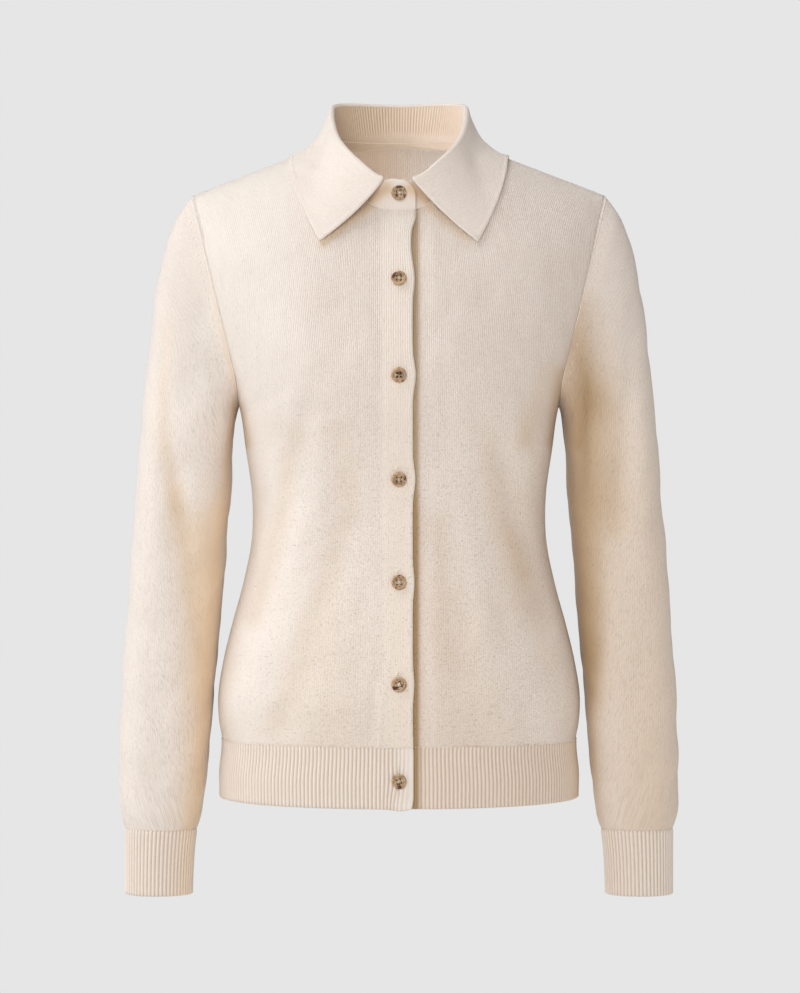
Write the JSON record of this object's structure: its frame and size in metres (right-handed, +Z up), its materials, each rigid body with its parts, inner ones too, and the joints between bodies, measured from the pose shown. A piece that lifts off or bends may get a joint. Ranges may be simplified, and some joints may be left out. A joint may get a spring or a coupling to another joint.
{
  "type": "collared button cardigan",
  "caption": "Fine-knit cardigan with long sleeves, shirt collar, buttoned front, and ribbed hem and cuffs, hollow and filled out as worn.",
  "frame": {"origin": "midway between the two neck points of the shoulder seams, where the cardigan hangs on its wearer", "axes": "+X to the wearer's left, +Y to the back, +Z up; the buttoned front faces -Y"},
  "size_m": [0.4942, 0.2317, 0.7102],
  "materials": {
    "plain_knit": "fine soft plain knit, cream",
    "rib_knit": "fine one-by-one rib knit, cream",
    "horn": "mottled brown and beige horn look, polished"
  },
  "bodies": {
    "root": {"front_right": "plain_knit", "front_left": "plain_knit", "back": "plain_knit", "hem_front_right": "rib_knit", "hem_front_left": "rib_knit", "hem_back": "rib_knit", "sleeve_right": "plain_knit", "cuff_right": "rib_knit", "sleeve_left": "plain_knit", "cuff_left": "rib_knit", "collar_stand": "rib_knit", "collar_leaf": "plain_knit", "button_1": "horn", "button_2": "horn", "button_3": "horn", "button_4": "horn", "button_5": "horn", "button_6": "horn", "button_7": "horn"}
  },
  "joints": []
}
